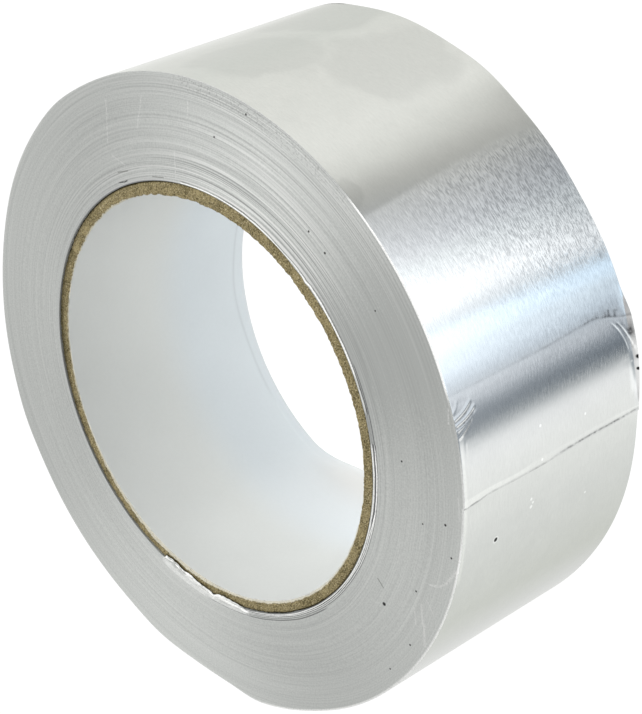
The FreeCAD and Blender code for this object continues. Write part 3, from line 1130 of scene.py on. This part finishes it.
def face_masks(past, height, random):
    """What the outer face's finish reads: grain sparkle, painted shade, painted highlight and painted
    glint.
    """
    across = np.clip(height / TAPE_WIDTH, 0, 1)
    from_end = from_free_end(past)
    scuffed = grain_sparkle_at(past, across, random)
    ragged = random_field(past * 0, across, 1, 60, random, sharp=True)
    slow = random_field(past * 0, across, 1, 7, random)
    end_dark, end_pale = free_end_marks(from_end, across, ragged, slow)
    crease_dark, crease_pale = crease_marks(past, across, ragged, random)
    shadow = end_dark + crease_dark + foot_shade(past, from_end, height, ragged)
    light = end_pale + crease_pale
    # A fold that stands out gets a painted highlight, and one that sinks gets painted shade.
    for listed in EDGE_FOLDS:
        along_fold = fold(past, height, *listed) / FOLD_TONE * (1 + 0.5 * ragged)
        light += np.maximum(along_fold, 0) * (0.35 + 0.75 * ramp(across, 0.5, 0.3))
        shadow += np.maximum(-along_fold, 0) * 0.6
    # A painted highlight along the top edge beside the free end.
    top_edge_highlight = ridge(TAPE_WIDTH - 0.5 * MM - height, 0.35 * MM)
    light += 0.75 * top_edge_highlight * stretch(from_end, -14, 9.5, 1.5)
    glint = glinting(past, from_end, height, ragged)
    return {"scuffed": scuffed, "shadow": np.clip(shadow, 0, 1), "light": np.clip(light, 0, 1),
            "glint": np.clip(glint, 0, 1)}


# %% [markdown]
# ### The cut edges of the turns
# The turns have crept along the axis, so the side is a very shallow cone inside its flush rim. Single
# turns stand a little above or below their neighbours. Where the roll was knocked they stand apart, which
# shows as bright edges with gaps in painted shade, and the outermost turns there are worn. Beside the
# free end the side is darker with painted shade, and the rim's bare edge carries a painted highlight.

# %% The cut edges of the turns
# Where the rim's painted highlight is strongest, and where the rim is worn.
BRIGHT_RIM, WORN_RIM = (20.5, 50), (56, 90)


def side_rise(radius):
    """How far the crept turns stand up: nothing on the flush rim, then a straight rise inwards."""
    flush = ROLL_RADIUS - FLUSH_RIM
    return CREEP * np.clip((flush - radius) / (flush - CORE_RADIUS), 0, 1)


def turns_apart(past, radius, random):
    """How much the turns stand apart, from 0 to 1: most on one side, where the roll was knocked."""
    around = past / 360
    inner = ramp(radius, ROLL_RADIUS - 12.5 * MM, CORE_RADIUS + 3 * MM)
    knocked = ramp(away(past, 66), 34, 8)
    near_it = ramp(away(past, 85), 75, 20)
    apart = 0.12 + 0.05 * inner + knocked * (0.38 + 0.50 * inner) + near_it * (0.10 + 0.18 * inner)
    apart = apart + ramp(away(past, 15), 30, 12) * 0.12 * inner
    patchy = random_field(around, (radius - CORE_RADIUS) / (ROLL_RADIUS - CORE_RADIUS), 12, 7, random)
    return np.clip(apart * (1 + 0.35 * patchy), 0, 1)


def shaded_side(past):
    """How much painted shade darkens the side, beside the free end."""
    return ridge(away(past, 27), 17)


def turn_relief(past, radius, random):
    """Single turns stand a few hundredths of a millimetre above or below their neighbours."""
    around = past / 360
    across = (radius - CORE_RADIUS) / (ROLL_RADIUS - CORE_RADIUS)
    relief = 0.016 * MM * random_field(around, across, 5, 46, random)
    return relief + 0.012 * MM * random_field(around, across, 30, 9, random)


def rim_light(past):
    """How strong the rim's painted highlight is: most on one stretch, some by the free end and opposite.
    """
    most = 0.12 + 0.88 * stretch(past, *BRIGHT_RIM, 4)
    return most + 0.25 * ramp(away(past, -3), 12, 9) + 0.40 * ramp(away(past, -45), 42, 32)


def worn_rim(past, radius):
    """Where the outermost turns are peppered with small knocks."""
    return stretch(past, *WORN_RIM, 8) * ramp(radius, ROLL_RADIUS - 4.5 * MM, ROLL_RADIUS - 1.2 * MM)


# %% [markdown]
# ### Building the wound turns
# One closed section is carried round, and its columns are close together only where something fine
# happens: from the free end to past the crease. Rows are close together by both edges of the tape.

# %% Build the wound turns
INNER_TURNS_RADIUS = 42.0 * MM
FINE_COLUMN, COARSE_COLUMN = 0.18, 1.2
FINE_ROW, COARSE_ROW = 0.20 * MM, 1.2 * MM
# Columns close to the free end, in degrees from it on both sides. The last one stops short of the first.
BY_THE_END = np.array([0, 0.03, 0.09, 0.18, 0.3, 0.45, 0.65, 0.9])
LAST_COLUMN = 359.985


def column_spacing(past):
    """Degrees between columns: close together from the free end to past its crease."""
    return COARSE_COLUMN + (FINE_COLUMN - COARSE_COLUMN) * stretch(past, 0, CREASE + 1, 3)


def row_spacing(height):
    """Metres between rows: close together at both edges of the tape."""
    from_edge = np.minimum(height + 2 * MM, TAPE_WIDTH - height)
    return COARSE_ROW + (FINE_ROW - COARSE_ROW) * ramp(from_edge, 8.5 * MM, 6.5 * MM)


def wound_turns_points(random):
    """The roll's section at each place round it, as points[row, column, 3], with its masks.

    Rows go up the outer face, round the rim, in over the upper cut edges to the inner turns, down
    beside them, out under the lower cut edges and round the other rim.
    """
    far_side = 360 - BY_THE_END[::-1]
    middle = spaced(BY_THE_END[-1], far_side[0], column_spacing)
    past = np.concatenate([BY_THE_END[:-1], middle, far_side[1:]])
    past[-1] = LAST_COLUMN
    heights = spaced(RIM_ROUNDING, TAPE_WIDTH - RIM_ROUNDING, row_spacing)
    past_grid, height_grid = np.meshgrid(past, heights)
    face = outer_radius(past_grid) + face_relief(past_grid, height_grid, random)

    column = past[None, :]
    quarter = np.radians([22.5, 45, 67.5, 90])[:, None]
    rim_radius = face[-1:] - RIM_ROUNDING * (1 - np.cos(quarter))
    rim_height = TAPE_WIDTH - RIM_ROUNDING * (1 - np.sin(quarter)) + 0 * rim_radius
    share = np.concatenate([[0.004], np.linspace(0.02, 1, 58)])[:, None]
    top_radius = rim_radius[-1:] + (INNER_TURNS_RADIUS - rim_radius[-1:]) * share
    relief = turn_relief(column, top_radius, random) * ramp(share, 0, 0.05)
    top_height = TAPE_WIDTH + side_rise(top_radius) + relief

    foot_share = np.linspace(0, 1, 12)[:, None]
    foot_radius = INNER_TURNS_RADIUS + (face[:1] - RIM_ROUNDING - INNER_TURNS_RADIUS) * foot_share
    foot_rim_radius = face[:1] - RIM_ROUNDING * (1 - np.sin(quarter[:-1]))
    foot_rim_height = RIM_ROUNDING * (1 - np.cos(quarter[:-1])) + 0 * foot_rim_radius

    radius = np.concatenate([face, rim_radius, top_radius, foot_radius, foot_rim_radius])
    foot_height = side_rise(foot_radius)
    height = np.concatenate([height_grid, rim_height, top_height, foot_height, foot_rim_height])
    wander = TAIL_WANDER * random_field(0 * height, height / TAPE_WIDTH, 1, 7, random)
    near_end = np.minimum(past, 360 - past)[None, :]
    angle = FREE_END + np.radians(column + wander * np.exp(-near_end / 2))

    rim_first, top_first = len(heights), len(heights) + len(quarter)
    cut_edge_rows = np.zeros(len(radius), dtype=int)
    cut_edge_rows[rim_first:-len(quarter) + 1] = 1
    rim_rows = np.zeros((len(radius), 1))
    rim_rows[rim_first - 1 : top_first + 1] = 1
    places = np.broadcast_to(column, radius.shape)
    masks = face_masks(places, height, random)
    masks["apart"] = turns_apart(places, radius, random)
    masks["worn_rim"] = worn_rim(places, radius)
    # The rim rows carry the rim's painted highlight.
    masks["bare_edge"] = rim_rows * rim_light(places)
    masks["dull"] = shaded_side(places)
    return on_ring(radius, height, angle), cut_edge_rows, masks


# Each piece has a seed of its own, so that a change to one leaves the others as they are.
points, cut_edge_rows, masks = wound_turns_points(np.random.default_rng(7))
wound_turns = ring_mesh("wound_turns", points, [foil_face, cut_edges], cut_edge_rows, masks)
wound_turns.data.set_sharp_from_angle(angle=SHARP_EDGE)
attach(wound_turns, "root")
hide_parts("tape_roll")

# %% [markdown]
# ## The inner turns
# The first few turns sit against the board tube and took the knocks: on one stretch the foil is crumpled
# over the end of the board, with painted highlights and painted shade on its creases; on the next two
# turns stand apart with gaps in painted shade beside them, and then a single white bare edge shows.
# Their bright parts also have a painted glint. On the rest of the way round the innermost turn lies in
# painted shade beside the board. They are a separate piece because they need much finer columns, and
# because their lip reaches in over the board, which the section of the wound turns doesn't.

# %% Where the inner turns are knocked
INNER_COLUMNS = 1500
LIP_THICKNESS = 0.06 * MM
CRUMPLED_START, CRUMPLED_STOP = -111.4, -80.0
TWO_EDGES_STOP = 7.3
ONE_EDGE_START, ONE_EDGE_STOP = 16.0, 93.0
KINK = 48.8
# How far the crumpled foil reaches in over the board: degrees past the free end, and mm.
FLANGE = [
    (-112.0, 0.0), (-111.4, 0.95), (-108.4, 1.35), (-106.0, 1.20), (-103.8, 1.05), (-100.8, 1.10),
    (-98.8, 0.72), (-95.8, 0.68), (-94.2, 0.52), (-92.3, 0.10), (-90.4, 0.72), (-88.8, 0.95),
    (-85.4, 0.70), (-82.9, 0.55), (-81.5, 0.30), (-80.3, 0.0), (-76.0, 0.0), (-72.0, 0.05),
    (-68.0, 0.15), (-63.8, 0.0), (-60.0, 0.18), (-50.0, 0.03), (-46.0, 0.08), (-40.0, 0.0),
    (38.0, 0.0), (46.0, 0.10), (58.0, 0.10), (68.0, 0.0),
]
# How far the innermost turn lies in the dark beside the board, again with mm.
SHADED = [
    (-180, 0.25), (-150, 0.22), (-125, 0.16), (-114, 0.08), (-111, 0.0), (-81, 0.0), (-80, 0.22),
    (-77.5, 0.18), (-76, 0.03), (-70, 0.10), (-25, 0.10), (-12, 0.0), (80, 0.0), (98, 0.08), (110, 0.20),
    (145, 0.18), (160, 0.04), (172, 0.12), (180, 0.25),
]


def listed_at(past, listed):
    """A value at each place from a list of places and values, with straight lines between them."""
    places, values = zip(*listed)
    return np.interp(past, places, values)


def flange_reach(past):
    """How far the crumpled foil reaches in over the board, in mm."""
    return listed_at(past, FLANGE)


def standing_turns(past, in_mm, across, wander, random):
    """Turns that stand apart: their white bare edges, and the painted shade of the gaps between them.

    in_mm is the distance out from the board. The edges wander, stray into each other on one stretch
    and are clear on another.
    """
    around = past / 360
    steady = 0.8 + 0.2 * random_field(around, 0, 24, 1, random)
    broken = np.clip(1 + 0.5 * random_field(around, across, 110, 3, random, sharp=True), 0, 1)
    clear = ramp(past, -35, -8)
    stray = 0.07 * random_field(around, 0, 45, 1, random, sharp=True) * ramp(past, -5, -25)
    first = 0.18 - 0.04 * clear + wander + stray
    second = 0.48 + 0.26 * ramp(past, -18, -9) + 1.2 * wander - stray
    third = 0.78 + 0.8 * wander
    first_start, first_stop = first - 0.06 - 0.03 * clear, first + 0.06 + 0.04 * clear
    whites = 0.95 * steady * stretch(in_mm, first_start, first_stop, 0.05)
    whites += (0.55 + 0.35 * clear) * steady * stretch(in_mm, second - 0.07, second + 0.07, 0.05)
    whites += (0.25 + 0.55 * clear) * stretch(in_mm, third - 0.06, third + 0.06, 0.05)
    gaps = stretch(in_mm, first + 0.14, second - 0.13, 0.04)
    gaps += 0.7 * stretch(in_mm, second + 0.13, third - 0.12, 0.04)
    gaps += 0.5 * stretch(in_mm, third + 0.12, third + 0.20, 0.05)
    return np.minimum(whites, 1) * broken, gaps


def single_turn(past, in_mm, random):
    """One turn's bare white edge and the painted shade of the gap beside it."""
    around = past / 360
    thin = 0.25 + 0.12 * stretch(past, 15, 49.5, 1.0) + 0.05 * random_field(around, 0, 50, 1, random)
    white = stretch(in_mm, 0.10, thin, 0.04)
    gap = stretch(in_mm, thin + 0.05, thin + 0.20, 0.05)
    return white, gap * (0.6 + 0.4 * random_field(around, 0, 25, 1, random))


def shaded_turn(past, in_mm):
    """The innermost turn where it lies low beside the board, in the dark."""
    width = listed_at(past, SHADED)
    return 0.68 * ramp(in_mm, width + 0.08, width - 0.12) * ramp(width, 0, 0.05)


def inner_turns_points(random):
    """The first turns' section, as points[row, column, 3], with its masks.

    Rows go in over the top to the lip, back under it, down beside the board tube, out under the
    bottom and up inside the wound turns.
    """
    past = np.linspace(-180, 180, INNER_COLUMNS, endpoint=False)[None, :]
    around = past / 360
    crumpled = stretch(past, CRUMPLED_START, CRUMPLED_STOP, 1.2)
    two = stretch(past, CRUMPLED_STOP, TWO_EDGES_STOP, 0.6)
    one = stretch(past, ONE_EDGE_START, ONE_EDGE_STOP, 1.5)
    covered = stretch(past, TWO_EDGES_STOP, ONE_EDGE_START, 0.8)

    # The lip wanders, and it is jagged where the foil is crumpled.
    jag = random_field(around, 0, 130, 1, random, sharp=True)
    jag = jag + 0.6 * random_field(around, 0, 380, 1, random, sharp=True)
    wander = 0.05 * random_field(around, 0, 60, 1, random, sharp=True)
    wander = wander + 0.03 * random_field(around, 0, 170, 1, random)
    kink = 0.22 * ridge(past - KINK, 0.9)
    reach = flange_reach(past) + 0.10 * jag * crumpled
    lip = CORE_RADIUS - MM * np.maximum(0.02, reach + (0.04 + wander + kink) * (one + two))

    share = np.linspace(0, 1, 46)[:, None]
    radius = INNER_TURNS_RADIUS + (lip - INNER_TURNS_RADIUS) * share
    in_mm = (radius - CORE_RADIUS) / MM
    from_lip = in_mm - (lip - CORE_RADIUS) / MM
    across = share + 0 * past

    # What stands up: creases in the crumpled foil, the bare edges, and the gaps that go down.
    flange = crumpled * ramp(in_mm, 1.50 + 0.12 * jag, 1.30 + 0.12 * jag)
    creased = 0.10 * random_field(around, across, 200, 5, random, sharp=True)
    creased += 0.06 * random_field(around, across, 520, 10, random, sharp=True)
    creased += 0.07 * np.sin(from_lip * 9 + 3 * random_field(around, 0, 40, 1, random))
    level = flange * (0.10 + creased) * (0.35 + 0.65 * ramp(from_lip, 1.4, 0.8))
    whites, gaps = standing_turns(past, in_mm, across, wander, random)
    white, gap = single_turn(past, in_mm - wander + kink, random)
    level += two * (0.05 * whites - 0.22 * gaps) + one * (0.05 * white - 0.20 * gap)
    nicks = stretch(past, 114.6, 117.8, 0.5) * stretch(in_mm, 0.80 + 0.3 * jag, 0.88 + 0.3 * jag, 0.08)
    outer_gap = stretch(past, -92, -50, 3) * stretch(in_mm, 1.25 + wander, 1.37 + wander, 0.06)
    level -= 0.25 * nicks + 0.1 * outer_gap
    level += 0.012 * random_field(around, across, 40, 10, random) * ramp(share, 0, 0.2)
    height = TAPE_WIDTH + side_rise(np.maximum(radius, CORE_RADIUS)) + MM * level

    # What is bright and what is dark: painted highlights on the crumpled foil and the bare edges, and
    # painted shade in the gaps, the nicks and beside the board, and a darker covered stretch.
    greyed = 0.5 + 0.5 * random_field(around, across, 160, 6, random)
    blotches = np.clip(0.5 + random_field(around, across, 75, 4, random, sharp=True), 0, 1)
    glowing = flange * (0.36 - 0.30 * greyed**2) + crumpled * blotches * ramp(from_lip, 0.85, 0.25)
    shining = 0.50 + 0.48 * ramp(past, 23.5, 25) - 0.10 * ramp(past, 49, 51) - 0.20 * ramp(past, 84, 90)
    bright = two * whites + one * white * shining + glowing
    hidden = 0.35 * covered * stretch(in_mm, 0.0, 0.55, 0.1)
    hidden = hidden + 1.2 * stretch(past, TWO_EDGES_STOP, 26, 2) * stretch(in_mm, 0.82, 0.92, 0.05)
    dark = 0.8 * two * gaps + one * gap + 0.8 * nicks + 0.6 * outer_gap + 0.7 * hidden
    dark = dark + shaded_turn(past, in_mm)

    rest = np.array([[0.9], [0.5], [0.0]])
    foot = CORE_RADIUS + (INNER_TURNS_RADIUS - CORE_RADIUS) * np.linspace(0, 1, 4)[:, None] + 0 * lip
    under = np.repeat(height[-1:] - LIP_THICKNESS, 2, axis=0)
    wall = CREEP + (TAPE_WIDTH - CREEP) * rest + 0 * lip
    radius = np.concatenate([radius, lip, CORE_RADIUS + 0 * lip, CORE_RADIUS + 0 * wall, foot])
    height = np.concatenate([height, under, wall, side_rise(foot)])
    places = np.broadcast_to(past, radius.shape)
    plain = np.zeros((len(radius) - len(bright), INNER_COLUMNS))
    masks = {
        "bare_edge": np.concatenate([np.clip(bright, 0, 1), plain]),
        "gap": np.concatenate([np.clip(dark, 0, 1), plain]),
        "apart": turns_apart(places, radius, random),
        "dull": shaded_side(places),
    }
    return on_ring(radius, height, FREE_END + np.radians(past)), masks


print(f"crumpled foil reaches {max(reach for _, reach in FLANGE):.2f} mm in over the board")

# %% Build the inner turns
points, masks = inner_turns_points(np.random.default_rng(11))
inner_turns = ring_mesh("inner_turns", points, [cut_edges], attributes=masks)
inner_turns.data.set_sharp_from_angle(angle=SHARP_EDGE)
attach(inner_turns, "root")
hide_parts("tape_roll")

# %% [markdown]
# ## The board tube and its lining
# The core is a spiral-wound tube of brown board, cut to length with a blade that left its ends rough.
# A thin white paper is glued inside it. Both are rings with a ragged upper end. The blade pushed a burr
# of board in over the paper, and left it torn and pale on some stretches. Where the tube's end is low
# beside the foil, it is darkened with painted shade. Deep in the bore a flap of the paper has come loose
# and leans inwards.
# A cylinder with a displaced end would do for the burr, but not for a lip that hangs over the paper.

# %% Where the tube's end is rough
TUBE_COLUMNS = 1500
BURR_DEPTH = 0.14 * MM
# How far the blade's burr hangs in over the lining: degrees past the free end, and mm.
BURR = [
    (-180, 0.25), (-160, 0.20), (-140, 0.12), (-90, 0.12), (-50, 0.15), (-5, 0.20), (25, 0.50),
    (60, 0.62), (100, 0.62), (112, 0.38), (150, 0.34), (180, 0.25),
]
# How wide the pale torn rim of the board is, and how wide the part that lies low in the
# foil's painted shade.
TORN = [
    (-180, 0.04), (-150, 0.06), (-138, 0.20), (-125, 0.36), (-112, 0.46), (-95, 0.34), (-85, 0.10),
    (-72, 0.20), (-40, 0.14), (-20, 0.03), (108, 0.0), (125, 0.20), (140, 0.12), (155, 0.03), (180, 0.04),
]
SUNK = [
    (-180, 1.10), (-165, 0.75), (-140, 0.60), (-112, 0.50), (-85, 0.45), (-50, 0.25), (0, 0.14),
    (90, 0.14), (120, 0.35), (150, 0.60), (172, 0.95), (180, 1.10),
]
# Rows of the lining's wall, in mm below its top. They are close together at the pressed line.
WALL_ROWS = [0.5, 1, 2, 5, 10, 20, 30, 36, 39, 40.4, 41.2, *np.arange(41.6, 43.7, 0.2), 44.1, 44.5, 44.75]
PRESSED_LINE, PRESSED_DEPTH = 2.15, 0.05 * MM
LOOSE_FLAP = 3.3 * MM


def board_points(random):
    """The board's section: a rough end that dips towards the foil, and a burr over the lining."""
    past = np.linspace(-180, 180, TUBE_COLUMNS, endpoint=False)[None, :]
    around = past / 360
    share = np.linspace(0, 1, 20)[:, None]
    across = share + 0 * past
    ragged = 0.06 * random_field(around, 0, 300, 1, random, sharp=True)
    ragged = ragged + 0.05 * random_field(around, 0, 740, 1, random, sharp=True)
    ragged = ragged * (1 + 1.4 * ramp(away(past, 135), 50, 20))
    burr = LINING_RADIUS - MM * np.clip(listed_at(past, BURR) + ragged, 0.05, 0.80)
    radius = CORE_RADIUS + (burr - CORE_RADIUS) * share
    rough = 0.10 * random_field(around, across, 520, 9, random)
    rough += 0.06 * random_field(around, across, 750, 16, random)
    rough += 0.05 * random_field(around, across, 60, 3, random)
    dip = -0.40 * ramp(share, 0.20, 0) - 0.08 * ramp(share, 0.9, 1)
    top = CORE_TOP + MM * (rough + dip)
    under = np.minimum(top[-1:] - 0.03 * MM, CORE_TOP - BURR_DEPTH)
    side = np.array([[0.0], [0.5], [0.97]]) * (CORE_TOP - CORE_FOOT) + CORE_FOOT + 0 * past
    radius = np.concatenate([CORE_RADIUS + 0 * side, radius, burr, LINING_RADIUS + 0 * side])
    height = np.concatenate([side, top, under, side[::-1]])

    bitten = 0.5 + 0.5 * random_field(around, 0, 260, 1, random, sharp=True)
    in_mm = (radius - burr) / MM
    torn_width = listed_at(past, TORN) * (0.5 + bitten)
    torn = ramp(in_mm, torn_width + 0.08, torn_width - 0.08)
    foil_edge = (CORE_RADIUS - burr) / MM - flange_reach(past)
    # Painted shade where the board lies low beside the foil, stronger on one side of the roll.
    deep = 0.3 + 0.6 * ramp(np.abs(past), 100, 175)
    sunk = 0.85 * ramp(in_mm, foil_edge - 0.35, foil_edge - 0.02)
    sunk = sunk + deep * ramp(in_mm, foil_edge - 2.0 * listed_at(past, SUNK), foil_edge - 0.2)
    masks = {"torn": torn, "sunk": np.clip(sunk, 0, 0.92)}
    return on_ring(radius, height, FREE_END + np.radians(past)), masks


def lining_points(random):
    """The lining's section: a torn end, a band pressed round its far end, and a loose flap there."""
    past = np.linspace(-180, 180, TUBE_COLUMNS, endpoint=False)[None, :]
    around = past / 360
    torn = 0.06 * random_field(around, 0, 240, 1, random, sharp=True)
    torn = torn + 0.07 * random_field(around, 0, 700, 1, random, sharp=True)
    fray = 0.07 * random_field(around, 0, 420, 1, random, sharp=True)
    share = np.linspace(0, 1, 5)[:, None]
    end_radius = LINING_RADIUS + (BORE_RADIUS - LINING_RADIUS) * share + MM * fray * share
    end_height = CORE_TOP - BURR_DEPTH + MM * np.minimum(torn, 0) - 0.02 * MM + 0 * share
    below = np.array(WALL_ROWS)[:, None] * MM
    wall_height = CORE_TOP - below + 0 * past
    line_height = CORE_FOOT + MM * (PRESSED_LINE + 0.6 * ridge(away(past, 186), 12))
    pressed = ramp(wall_height, line_height + 0.3 * MM, line_height - 0.3 * MM)
    line = ridge(wall_height - line_height, 0.30 * MM) * ramp(away(past, 188), 38, 26)
    loose = ramp(past, -122, -98) * ramp(past, -60, -90)
    lean = LOOSE_FLAP * loose * ramp(wall_height, 8 * MM, CORE_FOOT)
    wall_radius = BORE_RADIUS + PRESSED_DEPTH * pressed - lean
    # Painted light on the loose flap, which faces the light, and on the wall beside it.
    pale = 0.78 * loose * ridge(wall_height - 3.8 * MM, 3.0 * MM)
    by_flap = ramp(past, -128, -105) * ramp(past, -40, -75)
    pale = pale + 0.25 * by_flap * ramp(wall_height, 24 * MM, 12 * MM)
    wall_radius = wall_radius + 0.02 * MM * random_field(around, below / TAPE_WIDTH, 20, 4, random)
    back_height = np.array([[0.0], [0.5], [0.98]]) * (CORE_TOP - CORE_FOOT) + CORE_FOOT + 0 * past
    radius = np.concatenate([LINING_RADIUS + 0 * back_height, end_radius, wall_radius])
    height = np.concatenate([back_height, end_height, wall_height])
    plain = np.zeros((len(radius) - len(line), TUBE_COLUMNS))
    masks = {"line": np.concatenate([plain, line]), "pale": np.concatenate([plain, pale])}
    return on_ring(radius, height, FREE_END + np.radians(past)), masks


print(f"the burr hangs in by {max(burr for _, burr in BURR):.2f} mm at most")

# %% Build the board tube and the lining
points, masks = board_points(np.random.default_rng(3))
board_core = ring_mesh("board_core", points, [raw_board], attributes=masks)
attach(board_core, "root")
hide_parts("cardboard_core")

points, masks = lining_points(np.random.default_rng(5))
paper_lining = ring_mesh("paper_lining", points, [white_lining], attributes=masks)
paper_lining.data.set_sharp_from_angle(angle=math.radians(50))
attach(paper_lining, "root")
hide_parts("core_lining")
